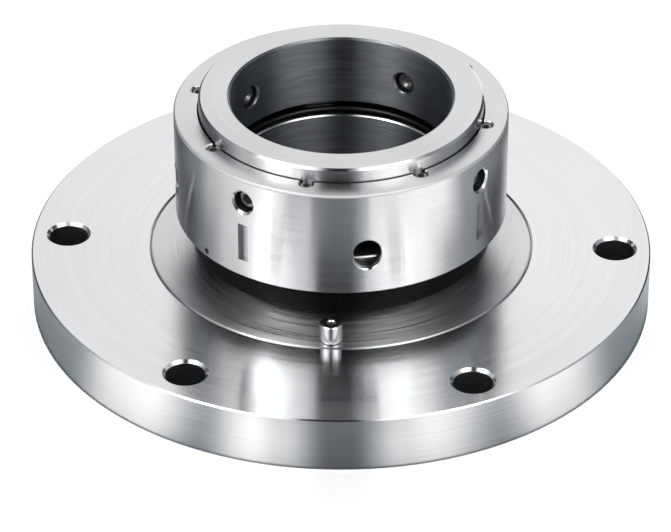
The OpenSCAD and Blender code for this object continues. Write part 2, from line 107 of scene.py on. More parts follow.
def scaled(colour: Colour, share: float) -> Colour:
    """Darken or brighten a colour, up to full white."""
    return tuple(min(1.0, part * share) for part in colour)


class Graph:
    """One material's node tree, built with short calls."""

    NOISE_MIDDLE = (0.3, 0.7)

    def __init__(self, name: str) -> None:
        """Start an empty material.

        Args:
            name: The material's name.
        """
        self.material = bpy.data.materials.new(name)
        self.material.use_nodes = True
        self.tree = self.material.node_tree
        self.tree.nodes.clear()

    def add(
        self, kind: Kind, inputs: dict[int | str, Input] | None = None, **settings: str
    ) -> bpy.types.Node:
        """Add a node, set its properties, and set or link its inputs.

        Args:
            kind: Which node to add.
            inputs: A constant or another node's output, by input name or number.
            settings: The node's properties, by name.

        Returns:
            The new node.
        """
        made = self.tree.nodes.new(kind.value)
        for key, value in settings.items():
            setattr(made, key, value)
        for key, value in (inputs or {}).items():
            if isinstance(value, Socket):
                self.tree.links.new(value, made.inputs[key])
            else:
                made.inputs[key].default_value = value
        return made

    def position(self) -> Socket:
        """Read where the surface lies, in metres."""
        return self.add(Kind.COORDINATES).outputs["Object"]

    def math(self, operation: str, *values: Input) -> Socket:
        """Do one sum of the Math node on constants or outputs, in their order."""
        return self.add(Kind.MATH, dict(enumerate(values)), operation=operation).outputs[0]

    def squares(self, a: Socket, b: Socket) -> Socket:
        """Add the squares of two outputs."""
        return self.math("ADD", self.math("MULTIPLY", a, a), self.math("MULTIPLY", b, b))

    def between(self, value: Socket, low: float, high: float) -> Socket:
        """Mark with 1 where a value lies between two limits, and with 0 elsewhere."""
        above = self.math("GREATER_THAN", value, low)
        return self.math("MULTIPLY", above, self.math("LESS_THAN", value, high))

    def choose(self, mask: Input, off: float, on: float) -> Socket:
        """Take one value where a mask is 0 and another where it is 1."""
        return self.math("MULTIPLY_ADD", mask, on - off, off)

    def noise(self, vector: Socket, scale: float, detail: float) -> Socket:
        """Add noise from 0 to 1, with so many features in one unit of a vector."""
        inputs = {"Vector": vector, "Scale": scale, "Detail": detail}
        return self.add(Kind.NOISE, inputs).outputs["Fac"]

    def remap(self, value: Socket, source: Span, target: Span) -> Socket:
        """Stretch a value from one range to another, and hold it at the ends.

        Args:
            value: The value.
            source: The range that it comes from.
            target: The range that it goes to.

        Returns:
            The stretched value.
        """
        inputs = {
            "Value": value,
            "From Min": source[0],
            "From Max": source[1],
            "To Min": target[0],
            "To Max": target[1],
        }
        return self.add(Kind.MAP_RANGE, inputs).outputs[0]

    def vary(self, noise: Socket, mean: float, swing: float) -> Socket:
        """Let a value swing about its mean with a noise."""
        return self.remap(noise, self.NOISE_MIDDLE, (mean - swing, mean + swing))

    def shade(self, noise: Socket, dark: Colour, light: Colour) -> Socket:
        """Turn a noise into a colour between two near ones.

        Args:
            noise: The noise.
            dark: Colour where the noise is low.
            light: Colour where it is high.

        Returns:
            The colour.
        """
        ramp = self.add(Kind.RAMP, {"Fac": noise})
        stops = zip(ramp.color_ramp.elements, self.NOISE_MIDDLE, (dark, light))
        for element, position, colour in stops:
            element.position = position
            element.color = opaque(colour)
        return ramp.outputs["Color"]

    def dim(self, colour: Socket, factor: Socket) -> Socket:
        """Multiply a colour by a factor."""
        inputs = {0: colour, "Scale": factor}
        return self.add(Kind.VECTOR_MATH, inputs, operation="SCALE").outputs[0]

    def bump(self, height: Socket, depth: float) -> Socket:
        """Raise the surface by a noise, over a depth in metres."""
        inputs = {"Strength": 1.0, "Distance": depth, "Height": height}
        return self.add(Kind.BUMP, inputs).outputs[0]

    def close(self, surface: Socket) -> bpy.types.Material:
        """Join a shader to the output and hand the material over."""
        self.add(Kind.OUTPUT, {"Surface": surface})
        return self.material

    def solid(self, inputs: dict[int | str, Input]) -> bpy.types.Material:
        """Make the material one Principled shader with these inputs."""
        return self.close(self.add(Kind.PRINCIPLED, inputs).outputs[0])


class Place:
    """Where a surface lies round the seal's axis, as node outputs in metres."""

    def __init__(self, graph: Graph) -> None:
        """Read the place.

        Args:
            graph: The material's nodes.
        """
        self.vector = graph.position()
        parts = graph.add(Kind.SEPARATE, {0: self.vector})
        self.x, self.y, self.z = (parts.outputs[axis] for axis in "XYZ")
        self.radius = graph.math("SQRT", graph.squares(self.x, self.y))

    def sector_angle(self, graph: Graph, count: int, start: float) -> Socket:
        """Measure the angle round the axis from the middle of the nearest sector.

        Args:
            graph: The material's nodes.
            count: Number of equal sectors round the axis.
            start: Angle of the first sector's middle from the X axis, in degrees.

        Returns:
            The angle in radians.
        """
        half = math.pi / count
        angle = graph.math("ARCTAN2", self.y, self.x)
        angle = graph.math("SUBTRACT", angle, math.radians(start))
        return graph.math("WRAP", angle, half, -half)


@dataclass(frozen=True)
class Crevice:
    """A ring-shaped room where the steel's colour is painted dark, as painted shade.

    Attributes:
        inner: Inner radius in metres.
        outer: Outer radius.
        low: Lower height.
        high: Upper height.
    """

    inner: float
    outer: float
    low: float
    high: float

    def mask(self, graph: Graph, place: Place) -> Socket:
        """Mark the room with 1, and what lies outside with 0."""
        ring = graph.between(place.radius, self.inner, self.outer)
        return graph.math("MULTIPLY", ring, graph.between(place.z, self.low, self.high))


@dataclass(frozen=True)
class DrilledCircle:
    """The walls of equal upright holes on one circle, painted dark as shade.

    Attributes:
        count: Number of holes.
        start: Angle of the first hole from the X axis, in degrees.
        pitch_radius: Radius of the circle in metres.
        reach: Radius that takes in a hole's wall but not its mouth, in metres.
        low: Lower height.
        high: Upper height.
    """

    count: int
    start: float
    pitch_radius: float
    reach: float
    low: float
    high: float

    def mask(self, graph: Graph, place: Place) -> Socket:
        """Mark the walls of the holes.

        Args:
            graph: The material's nodes.
            place: Where the surface lies.

        Returns:
            1 inside a hole and 0 outside.
        """
        angle = place.sector_angle(graph, self.count, self.start)
        out = graph.math("MULTIPLY", graph.math("COSINE", angle), place.radius)
        out = graph.math("SUBTRACT", out, self.pitch_radius)
        aside = graph.math("MULTIPLY", graph.math("SINE", angle), place.radius)
        inside = graph.math("LESS_THAN", graph.squares(out, aside), self.reach**2)
        return graph.math("MULTIPLY", inside, graph.between(place.z, self.low, self.high))


@dataclass(frozen=True)
class RadialHoles:
    """The walls of equal holes that run towards the axis, painted dark as shade.

    Attributes:
        count: Number of holes round the axis.
        start: Angle of the first hole from the X axis, in degrees.
        height: Height of the holes' axes in metres.
        reach: Radius that takes in a hole's wall, in metres.
        outer: Radius round the seal's axis where the shade ends, in metres.
    """

    count: int
    start: float
    height: float
    reach: float
    outer: float

    def mask(self, graph: Graph, place: Place) -> Socket:
        """Mark the walls of the holes.

        Args:
            graph: The material's nodes.
            place: Where the surface lies.

        Returns:
            1 inside a hole and 0 outside.
        """
        angle = place.sector_angle(graph, self.count, self.start)
        aside = graph.math("MULTIPLY", graph.math("SINE", angle), place.radius)
        rise = graph.math("SUBTRACT", place.z, self.height)
        inside = graph.math("LESS_THAN", graph.squares(aside, rise), self.reach**2)
        return graph.math("MULTIPLY", inside, graph.math("LESS_THAN", place.radius, self.outer))


Shade = Crevice | DrilledCircle | RadialHoles


def kept_light(graph: Graph, place: Place, shades: tuple[Shade, ...], share: float) -> Socket:
    """Find the factor by which painted shade darkens a surface's colour.

    Args:
        graph: The material's nodes.
        place: Where the surface lies.
        shades: The places that keep little light.
        share: Share that they keep.

    Returns:
        1 in the open and the share inside a shade.
    """
    dark = 0.0
    for shade in shades:
        dark = graph.math("MAXIMUM", dark, shade.mask(graph, place))
    return graph.choose(dark, 1.0, share)


@dataclass(frozen=True)
class TurnedSteel:
    """Bright steel from a lathe: fine rings round the piece's axis draw its reflections out.

    Attributes:
        name: The material's name.
        tint: Reflected colour.
        roughness: Mean roughness.
        anisotropy: How far reflections are drawn out across the rings.
        pitch: Width of one tool mark in metres.
        depth: Height of the tool marks in metres.
        contrast: Share by which the marks vary the colour.
        swing: How far the marks vary the roughness.
        honed_radius: Surfaces nearer to the axis than this are honed, in metres.
        crevices: Places painted dark as shade, such as a joint or a chamber.
        shaded_share: Share of the colour that the painted shade leaves there.
        edges: Edges broken by hand, which are dull.
    """

    name: str
    tint: Colour
    roughness: float = 0.2
    anisotropy: float = 0.7
    pitch: float = 0.4 * MM
    depth: float = 0.0005 * MM
    contrast: float = 0.03
    swing: float = 0.01
    honed_radius: float = 0.0
    crevices: tuple[Shade, ...] = ()
    shaded_share: float = 0.1
    edges: tuple[Shade, ...] = ()

    # Tool marks in one radian, marks in height against marks in radius, and the quarter
    # turn that draws reflections out across the marks.
    STREAKS = 1.3
    SLOPE = 1.37
    ACROSS_RINGS = 0.25
    # Wide bands along the marks and blotches across them vary the roughness.
    BAND_SCALE = 0.16
    BAND_SWING = 0.02
    BLOTCH_SCALE = 30.0
    BLOTCH_SWING = 0.015
    # A honed bore is rougher, with uneven honing streaks; its colour also carries painted shade,
    # darker as a whole, and a painted cool reflection tone.
    HONED_ROUGHNESS = 0.37
    HONED_ANISOTROPY = 1.0
    HONED_SHADE_SHARE = 0.51
    HONED_SWING = 0.1
    HONED_STREAKS = 3.5
    HONED_PITCH = 1.1 * MM
    HONED_PAINTED_TONE = (0.9, 0.96, 1.0)
    # What a place in shade and a dull edge add to the roughness.
    SHADE_ROUGHNESS = 0.3
    EDGE_ROUGHNESS = 0.35

    def rings(self, graph: Graph, place: Place, streaks: float, pitch: float) -> Socket:
        """Lay coordinates that run along and across the tool marks.

        Args:
            graph: The material's nodes.
            place: Where the surface lies.
            streaks: Marks in one radian round the axis.
            pitch: Width of one mark in metres.

        Returns:
            The marks' vector.
        """
        across = graph.math("MULTIPLY_ADD", place.z, self.SLOPE, place.radius)
        lay = {"Z": graph.math("DIVIDE", across, pitch)}
        for axis, value in (("X", place.x), ("Y", place.y)):
            lay[axis] = graph.math("MULTIPLY", graph.math("DIVIDE", value, place.radius), streaks)
        return graph.add(Kind.COMBINE, lay).outputs[0]

    def colour(
        self, graph: Graph, place: Place, marks: Socket, honed: Socket, lit: Socket
    ) -> Socket:
        """Colour the steel by tool marks and honing streaks, with painted shade and cool tone.

        Args:
            graph: The material's nodes.
            place: Where the surface lies.
            marks: Noise of the tool marks.
            honed: 1 where the steel is honed.
            lit: Share of the colour that painted shade leaves.

        Returns:
            The reflected colour.
        """
        dark, light = scaled(self.tint, 1 - self.contrast), scaled(self.tint, 1 + self.contrast)
        # Painted cool reflection tone where the bore is honed.
        parts = zip("XYZ", self.HONED_PAINTED_TONE)
        tone = {axis: graph.choose(honed, 1.0, part) for axis, part in parts}
        reflection_tone = graph.add(Kind.COMBINE, tone).outputs[0]
        factors = {0: graph.shade(marks, dark, light), 1: reflection_tone}
        tint = graph.add(Kind.VECTOR_MATH, factors, operation="MULTIPLY").outputs[0]
        lay = self.rings(graph, place, self.HONED_STREAKS, self.HONED_PITCH)
        honing = graph.noise(lay, scale=1.0, detail=3.0)
        # Real honing streaks about a painted shade that darkens the whole bore.
        loss = graph.vary(honing, self.HONED_SHADE_SHARE - 1, self.HONED_SWING)
        keep = graph.math("MULTIPLY_ADD", honed, loss, 1.0)
        return graph.dim(tint, graph.math("MULTIPLY", lit, keep))

    def material(self) -> bpy.types.Material:
        """Build the finish.

        Returns:
            The material.
        """
        graph = Graph(self.name)
        place = Place(graph)
        lay = self.rings(graph, place, self.STREAKS, self.pitch)
        marks = graph.noise(lay, scale=1.0, detail=3.0)
        bands = graph.noise(lay, scale=self.BAND_SCALE, detail=1.0)
        blotch = graph.noise(place.vector, scale=self.BLOTCH_SCALE, detail=2.0)
        honed = graph.math("LESS_THAN", place.radius, self.honed_radius)
        draw = graph.choose(honed, self.anisotropy, self.HONED_ANISOTROPY)
        rough = graph.choose(honed, self.roughness, self.HONED_ROUGHNESS)
        swings = ((bands, self.BAND_SWING), (marks, self.swing), (blotch, self.BLOTCH_SWING))
        for noise, swing in swings:
            rough = graph.math("ADD", rough, graph.vary(noise, 0.0, swing))
        # Painted shade: the crevices keep only a share of the steel's colour.
        lit = kept_light(graph, place, self.crevices, self.shaded_share)
        keen = kept_light(graph, place, self.edges, 0.0)
        for kept, dulling in ((lit, self.SHADE_ROUGHNESS), (keen, self.EDGE_ROUGHNESS)):
            lost = graph.math("SUBTRACT", 1.0, kept)
            rough = graph.math("MULTIPLY_ADD", lost, dulling, rough)
            draw = graph.math("MULTIPLY", draw, kept)
        tangent = graph.add(Kind.TANGENT, direction_type="RADIAL", axis="Z")
        return graph.solid(
            {
                "Base Color": self.colour(graph, place, marks, honed, lit),
                "Metallic": 1.0,
                "Roughness": rough,
                "Anisotropic": draw,
                "Anisotropic Rotation": self.ACROSS_RINGS,
                "Normal": graph.bump(marks, self.depth),
                "Tangent": tangent.outputs[0],
            }
        )


@dataclass(frozen=True)
class SatinSteel:
    """Steel with an even fine grain, for screws, keys, pins and wire.

    Attributes:
        name: The material's name.
        tint: Reflected colour.
        roughness: Mean roughness.
        crevices: Places painted dark as shade, such as a pin's foot.
        grain: Grains in one metre.
        depth: Height of the grain in metres.
    """

    name: str
    tint: Colour
    roughness: float
    crevices: tuple[Shade, ...] = ()
    grain: float = 3000.0
    depth: float = 0.002 * MM

    # Share of the colour that painted shade leaves in a crevice, and the darker blotches of the
    # steel.
    SHADED_SHARE = 0.1
    DARK_SHARE = 0.9
    BLOTCH_SHARE = 0.05
    BLOTCH_SWING = 0.04

    def material(self) -> bpy.types.Material:
        """Build the finish.

        Returns:
            The material.
        """
        graph = Graph(self.name)
        place = Place(graph)
        grain = graph.noise(place.vector, scale=self.grain, detail=2.0)
        blotch = graph.noise(place.vector, scale=self.grain * self.BLOTCH_SHARE, detail=2.0)
        tint = graph.shade(blotch, scaled(self.tint, self.DARK_SHARE), self.tint)
        # Painted shade: the crevices keep only a share of the colour.
        lit = kept_light(graph, place, self.crevices, self.SHADED_SHARE)
        return graph.solid(
            {
                "Base Color": graph.dim(tint, lit),
                "Metallic": 1.0,
                "Roughness": graph.vary(blotch, self.roughness, self.BLOTCH_SWING),
                "Normal": graph.bump(grain, self.depth),
            }
        )


@dataclass(frozen=True)
class DarkSolid:
    """A black non-metal, such as carbon, ceramic or rubber, with a fine grain.

    Attributes:
        name: The material's name.
        tint: Body colour.
        roughness: Mean roughness.
        shine: Specular level.
        grain: Grains in one metre.
        depth: Height of the grain in metres.
    """

    name: str
    tint: Colour
    roughness: float
    shine: float
    grain: float = 2500.0
    depth: float = 0.004 * MM

    # The paler clouds of the surface, and their size against the grain.
    LIGHT_SHARE = 1.35
    CLOUD_SHARE = 0.04
    CLOUD_SWING = 0.04

    def material(self) -> bpy.types.Material:
        """Build the finish.

        Returns:
            The material.
        """
        graph = Graph(self.name)
        vector = graph.position()
        grain = graph.noise(vector, scale=self.grain, detail=3.0)
        cloud = graph.noise(vector, scale=self.grain * self.CLOUD_SHARE, detail=2.0)
        return graph.solid(
            {
                "Base Color": graph.shade(cloud, self.tint, scaled(self.tint, self.LIGHT_SHARE)),
                "Roughness": graph.vary(cloud, self.roughness, self.CLOUD_SWING),
                "Specular IOR Level": self.shine,
                "Normal": graph.bump(grain, self.depth),
            }
        )


@dataclass(frozen=True)
class PackedSteel:
    """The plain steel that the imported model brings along.

    Attributes:
        name: The name of the frame's material.
    """

    name: str

    def material(self) -> bpy.types.Material:
        """Find the frame's material."""
        return bpy.data.materials[self.name]


Finish = TurnedSteel | SatinSteel | DarkSolid | PackedSteel

# The painted shade in the flange's bolt holes keeps a third of its colour.
FLANGE_TURNED = TurnedSteel(
    "flange_turned_steel",
    tint=(0.91, 0.92, 0.93),
    roughness=0.155,
    anisotropy=1.0,
    contrast=0.05,
    swing=0.03,
    shaded_share=0.33,
)
HOUSING_TURNED = TurnedSteel(
    "housing_turned_steel",
    tint=(0.91, 0.94, 0.96),
    roughness=0.315,
    anisotropy=1.0,
    pitch=0.7 * MM,
    contrast=0.1,
    swing=0.055,
)
HEAD_TURNED = TurnedSteel(
    "head_turned_steel", tint=(0.8, 0.805, 0.81), roughness=0.19, anisotropy=1.0
)
CARRIER_TURNED = TurnedSteel("carrier_turned_steel", tint=(0.74, 0.75, 0.76))
GROUND_STEEL = SatinSteel("ground_steel", tint=(0.86, 0.86, 0.87), roughness=0.24)
KEY_STEEL = SatinSteel("key_steel", tint=(0.62, 0.63, 0.65), roughness=0.34)
BLACKENED_STEEL = SatinSteel("screw_steel", tint=(0.06, 0.06, 0.065), roughness=0.2)
PLAIN_STEEL = PackedSteel("screw_steel")
SPRING_STEEL = SatinSteel("spring_wire_steel", tint=(0.58, 0.59, 0.6), roughness=0.3)
CARBON = DarkSolid("carbon_satin", tint=(0.0016, 0.0016, 0.0018), roughness=0.3, shine=0.12)
CERAMIC = DarkSolid("lapped_ceramic", tint=(0.008, 0.008, 0.009), roughness=0.16, shine=0.3)
RUBBER = DarkSolid("moulded_rubber", tint=(0.002, 0.002, 0.002), roughness=0.3, shine=0.4)


@cache
def shared(finish: Finish) -> bpy.types.Material:
    """Build a finish once, however many pieces wear it."""
    return finish.material()


def dress(node: bpy.types.Object, material: bpy.types.Material) -> None:
    """Give an object one material."""
    node.data.materials.clear()
    node.data.materials.append(material)


def show(name: str, data: bpy.types.Mesh | bpy.types.Camera) -> bpy.types.Object:
    """Put a mesh or a camera into the scene.

    Args:
        name: The new object's name.
        data: What it shows.

    Returns:
        The object.
    """
    made = bpy.data.objects.new(name, data)
    bpy.context.scene.collection.objects.link(made)
    return made


@dataclass
class SubAssembly:
    """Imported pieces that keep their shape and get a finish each.

    Attributes:
        nodes: The frame's objects by name.
    """

    nodes: dict[str, bpy.types.Object]

    def finishes(self) -> dict[str, Finish]:
        """Choose each piece's finish, by the name of its node."""
        raise NotImplementedError

    def dress(self) -> list[str]:
        """Give each piece its finish.

        Returns:
            The names of the pieces.
        """
        chosen = self.finishes()
        for name, finish in chosen.items():
            dress(self.nodes[name], shared(finish))
        return list(chosen)


@dataclass
class Stator(SubAssembly):
    """What stands still: the flange, the flush housing and the hard seat in it.

    Attributes:
        bolts: Number of bolt holes.
        first_bolt: Angle of the first bolt hole from the X axis, in degrees.
        bolt_inset: From the flange's outside in to the bolt circle, in metres.
        bolt_reach: Radius round a bolt hole's axis that takes in its wall.
        lower_mouth: Height of a bolt hole's lit lower mouth.
        upper_mouth: Height of its lit upper mouth.
        pin_ring: Inner and outer radius of the ring that the locating pin stands in.
        foot_start: Where the painted shadow at the pin's foot starts, below the housing's face.
        foot_height: How far it rises above that face.
    """

    bolts: int = 6
    first_bolt: float = -2.7
    bolt_inset: float = 13 * MM
    bolt_reach: float = 7.1 * MM
    lower_mouth: float = 0.5 * MM
    upper_mouth: float = 0.8 * MM
    pin_ring: Span = (50 * MM, 75 * MM)
    foot_start: float = 0.1 * MM
    foot_height: float = 0.4 * MM

    def bolt_walls(self) -> DrilledCircle:
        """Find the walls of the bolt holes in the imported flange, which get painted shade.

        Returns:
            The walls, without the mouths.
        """
        low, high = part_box("mounting_flange")
        return DrilledCircle(
            count=self.bolts,
            start=self.first_bolt,
            pitch_radius=high.x - self.bolt_inset,
            reach=self.bolt_reach,
            low=low.z + self.lower_mouth,
            high=high.z - self.upper_mouth,
        )

    def pin_foot_shadow(self) -> Crevice:
        """Find the painted shadow at the foot of the locating pin on the housing's face."""
        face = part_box("seat_housing")[1].z
        return Crevice(*self.pin_ring, face - self.foot_start, face + self.foot_height)

    def finishes(self) -> dict[str, Finish]:
        """Choose each standing piece's finish.

        Returns:
            The finishes by the names of the nodes.
        """
        # Painted shadow at the foot of the pins.
        ground = replace(GROUND_STEEL, crevices=(self.pin_foot_shadow(),))
        return {
            # Painted shade on the walls of the bolt holes.
            "mounting_flange": replace(FLANGE_TURNED, crevices=(self.bolt_walls(),)),
            "seat_housing": HOUSING_TURNED,
            "stationary_seat": CERAMIC,
            "housing_screws": BLACKENED_STEEL,
            "locating_pin": ground,
            "seat_pins": ground,
            "flange_o_ring": RUBBER,
            "housing_o_ring": RUBBER,
            "seat_o_ring": RUBBER,
        }


@dataclass
class RotatingHead(SubAssembly):
    """What turns with the shaft: collar, barrel, their screws and the keys.

    Attributes:
        bore: Radius inside which the steel is honed, in metres.
        joint: The joint between collar and barrel, seen from above, painted dark as shade.
        chamber: The chamber behind the windows, painted dark as shade.
        screws: Number of set screw holes.
        first_screw: Angle of the first set screw hole from the X axis, in degrees.
        screw_room: From a set screw's outside to beyond its hole's wall.
        screw_mouth: Depth of a hole's lit mouth, in from the barrel's outside.
        edge_width: Width of the barrel's dull edge, in from its outside.
        edge_room: How far the dull place reaches beyond the barrel's outside.
        edge_depth: How far the dull edge reaches down from the barrel's top.
        edge_skin: Depth of the bright top face above it.
    """

    bore: float = 40.75 * MM
    joint: Crevice = Crevice(inner=50.9 * MM, outer=51.8 * MM, low=75.0 * MM, high=78.05 * MM)
    chamber: Crevice = Crevice(inner=40.8 * MM, outer=57.9 * MM, low=37.0 * MM, high=62.5 * MM)
    screws: int = 4
    first_screw: float = -35.0
    screw_room: float = 0.05 * MM
    screw_mouth: float = 0.9 * MM
    edge_width: float = 1.0 * MM
    edge_room: float = 0.5 * MM
    edge_depth: float = 0.9 * MM
    edge_skin: float = 0.03 * MM

    def screw_walls(self, outside: float) -> RadialHoles:
        """Find the walls of the set screw holes, which get painted shade.

        Args:
            outside: The barrel's outer radius.

        Returns:
            The walls, without the mouths.
        """
        low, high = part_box("set_screws")
        return RadialHoles(
            count=self.screws,
            start=self.first_screw,
            height=(low.z + high.z) / 2,
            reach=(high.z - low.z) / 2 + self.screw_room,
            outer=outside - self.screw_mouth,
        )

    def dull_edge(self, outside: float, top: float) -> Crevice:
        """Find the barrel's upper outer edge.

        Args:
            outside: The barrel's outer radius.
            top: Height of its top.

        Returns:
            The edge, without the top face.
        """
        return Crevice(
            inner=outside - self.edge_width,
            outer=outside + self.edge_room,
            low=top - self.edge_depth,
            high=top - self.edge_skin,
        )

    def finishes(self) -> dict[str, Finish]:
        """Choose each turning piece's finish.

        Returns:
            The finishes by the names of the nodes.
        """
        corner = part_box("outer_barrel")[1]
        # Painted shade in the joint, the chamber and the set screw holes.
        head = replace(
            HEAD_TURNED,
            honed_radius=self.bore,
            crevices=(self.joint, self.chamber, self.screw_walls(corner.x)),
            edges=(self.dull_edge(corner.x, corner.z),),
        )
        return {
            "drive_collar": head,
            "outer_barrel": head,
            "set_screws": PLAIN_STEEL,
            "lock_screws": PLAIN_STEEL,
            "drive_keys": KEY_STEEL,
            "snap_ring": SPRING_STEEL,
        }


@dataclass
class SlidingFace(SubAssembly):
    """What floats on the springs: the carrier, the black ring and the shaft's O-ring.

    Attributes:
        bore: Radius inside which the steel is honed, in metres.
        neck_room: The room round the carrier's neck, under the collar, painted dark as shade.
    """

    bore: float = 40.35 * MM
    neck_room: Crevice = Crevice(
        inner=40.8 * MM, outer=54.3 * MM, low=49.5 * MM, high=62.5 * MM
    )

    def finishes(self) -> dict[str, Finish]:
        """Choose each floating piece's finish, by the name of its node."""
        # Painted shade in the room round the carrier's neck.
        carrier = replace(CARRIER_TURNED, honed_radius=self.bore, crevices=(self.neck_room,))
        return {"face_carrier": carrier, "carbon_face_ring": CARBON, "shaft_o_ring": RUBBER}


@dataclass
class CoilSpring:
    """A wound spring with closed ends, in the place of one packed spring.

    Attributes:
        node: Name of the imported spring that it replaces.
        number: The spring's number.
        wire: Diameter of the wire in metres.
        turns: Turns from end to end.
        sides: Sides of the wire.
        steps: Steps in one turn.
    """

    node: str
    number: int
    wire: float = 0.9 * MM
    turns: int = 6
    sides: int = 12
    steps: int = 32

    # A closed turn climbs by this many wires, and the two ends take this many turns' height.
    CLOSED_PITCH = 1.02
    CLOSED_WIRES = 3

    def centre(self, share: float, low: float, high: float) -> tuple[float, float]:
        """Find the wire's centre line.

        Args:
            share: Share of the wire's length, from 0 to 1.
            low: Height of the spring's lower end.
            high: Height of its upper end.

        Returns:
            The angle in radians and the height.
        """
        end = 1 / self.turns
        rise = min(max((share - end) / (1 - 2 * end), 0.0), 1.0)
        closed = min(share, end) / end + max(share - 1 + end, 0.0) / end
        pitch = self.wire * self.CLOSED_PITCH
        free = high - low - self.CLOSED_WIRES * pitch
        return share * self.turns * math.tau, low + pitch / 2 + closed * pitch + rise * free

    def section(
        self, mesh: bmesh.types.BMesh, centre: Vector, out: Vector
    ) -> list[bmesh.types.BMVert]:
        """Lay one ring of points round the wire.

        Args:
            mesh: The spring's mesh.
            centre: The wire's centre.
            out: Direction away from the spring's axis.

        Returns:
            The ring's points.
        """
        ring = []
        for k in range(self.sides):
            a = k * math.tau / self.sides
            step = out * math.cos(a) + Vector((0.0, 0.0, math.sin(a)))
            ring.append(mesh.verts.new(centre + step * self.wire / 2))
        return ring

    def build(self) -> bpy.types.Object:
        """Wind the spring.

        Returns:
            The spring's object.
        """
        low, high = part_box(self.node)
        middle = (low + high) / 2
        coil = (high.x - low.x - self.wire) / 2
        start = math.atan2(middle.y, middle.x)
        count = self.turns * self.steps
        mesh = bmesh.new()
        rings = []
        for i in range(count + 1):
            angle, height = self.centre(i / count, low.z, high.z)
            out = Vector((math.cos(angle + start), math.sin(angle + start), 0.0))
            centre = Vector((middle.x, middle.y, height)) + out * coil
            rings.append(self.section(mesh, centre, out))
        for a, b in zip(rings, rings[1:]):
            for k in range(self.sides):
                n = (k + 1) % self.sides
                mesh.faces.new((a[k], a[n], b[n], b[k]))
        mesh.faces.new(reversed(rings[0]))
        mesh.faces.new(rings[-1])
        bmesh.ops.recalc_face_normals(mesh, faces=mesh.faces)
        name = f"wound_spring_{self.number}"
        data = bpy.data.meshes.new(name)
        mesh.to_mesh(data)
        mesh.free()
        data.shade_smooth()
        return show(name, data)


@dataclass
class SpringSet:
    """The coil springs between the carrier's rim and the collar's pockets.

    Attributes:
        count: Number of springs.
        travel: How far the face floats up, in metres. Not used.
    """

    count: int = 8
    travel: float = 2 * MM

    def build(self) -> list[str]:
        """Wind every spring and seat it on the head.

        Returns:
            The names of the springs.
        """
        names = []
        for number in range(1, self.count + 1):
            node = f"coil_spring_{number}"
            spring = CoilSpring(node, number).build()
            dress(spring, shared(SPRING_STEEL))
            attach(spring, "rotor")
            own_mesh(spring)
            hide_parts(node)
            names.append(spring.name)
        return names


@dataclass(frozen=True)
class Stop:
    """The tent's brightness at one azimuth.

    Attributes:
        azimuth: Degrees from the camera's side, positive to its right.
        glow: Brightness, where 1 is white.
    """

    azimuth: float
    glow: float


@dataclass(frozen=True)
class TentRing:
    """One ring of the tent's cloth.

    Attributes:
        radius: Radius in metres.
        height: Height above the floor in metres.
        stops: Brightness round the ring, in order of azimuth from -180 degrees.
        gain: Factor on the stops.
        fan: Factor that spreads the stops away from the camera's side.
    """

    radius: float
    height: float
    stops: tuple[Stop, ...]
    gain: float = 1.0
    fan: float = 1.0

    def at(self, azimuth: float) -> float:
        """Read the ring's brightness.

        Args:
            azimuth: Degrees from the camera's side, from -180 to 180.

        Returns:
            The brightness.
        """
        azimuth /= self.fan
        closed = (*self.stops, Stop(self.stops[0].azimuth + 360, self.stops[0].glow))
        for a, b in zip(closed, closed[1:]):
            if a.azimuth <= azimuth <= b.azimuth:
                share = (azimuth - a.azimuth) / (b.azimuth - a.azimuth)
                ease = share * share * (3 - 2 * share)
                return self.gain * (a.glow + (b.glow - a.glow) * ease)
        return 0.0


FLOOR_STOPS = (
    Stop(-180, 0.7), Stop(-168, 0.36), Stop(-150, 0.08), Stop(-124, 0.07), Stop(-100, 0.26),
    Stop(-81, 0.72), Stop(-67, 0.92), Stop(-50, 0.88), Stop(-37, 1.1), Stop(-28, 0.5),
    Stop(-18.2, 0.52), Stop(-15.6, 0.21), Stop(6, 0.24), Stop(15, 0.42), Stop(16.5, 0.82),
    Stop(34, 1.0), Stop(50, 1.17), Stop(60, 1.28), Stop(80, 0.42), Stop(100, 0.26),
    Stop(130, 0.02), Stop(142, 0.05), Stop(150, 1.1), Stop(164, 1.5),
)
WALL_STOPS = (
    Stop(-180, 0.93), Stop(-165, 0.83), Stop(-150, 0.16), Stop(-124, 0.08), Stop(-100, 0.34),
    Stop(-81, 0.92), Stop(-67, 0.9), Stop(-50, 0.8), Stop(-37, 0.85), Stop(-28, 0.58),
    Stop(-18.2, 0.45), Stop(-15.6, 0.03), Stop(6, 0.03), Stop(15, 0.15), Stop(16.5, 0.5),
    Stop(34, 0.76), Stop(50, 1.06), Stop(60, 1.3), Stop(80, 0.5), Stop(100, 0.36),
    Stop(130, 0.04), Stop(142, 0.1), Stop(154, 0.78), Stop(168, 0.9),
)
SKY_STOPS = (
    Stop(-180, 0.9), Stop(-160, 0.65), Stop(-140, 0.05), Stop(-85, 0.03), Stop(-72, 2.6),
    Stop(-60, 8.4), Stop(-50, 4.2), Stop(-40, 2.7), Stop(-30, 2.1), Stop(-18.2, 0.8),
    Stop(-15.6, 0.03), Stop(6, 0.03), Stop(13, 0.6), Stop(20, 2.0), Stop(30, 3.0),
    Stop(40, 4.0), Stop(50, 4.2), Stop(60, 2.4), Stop(72, 0.5), Stop(82, 0.03),
    Stop(140, 0.05), Stop(160, 0.65),
)
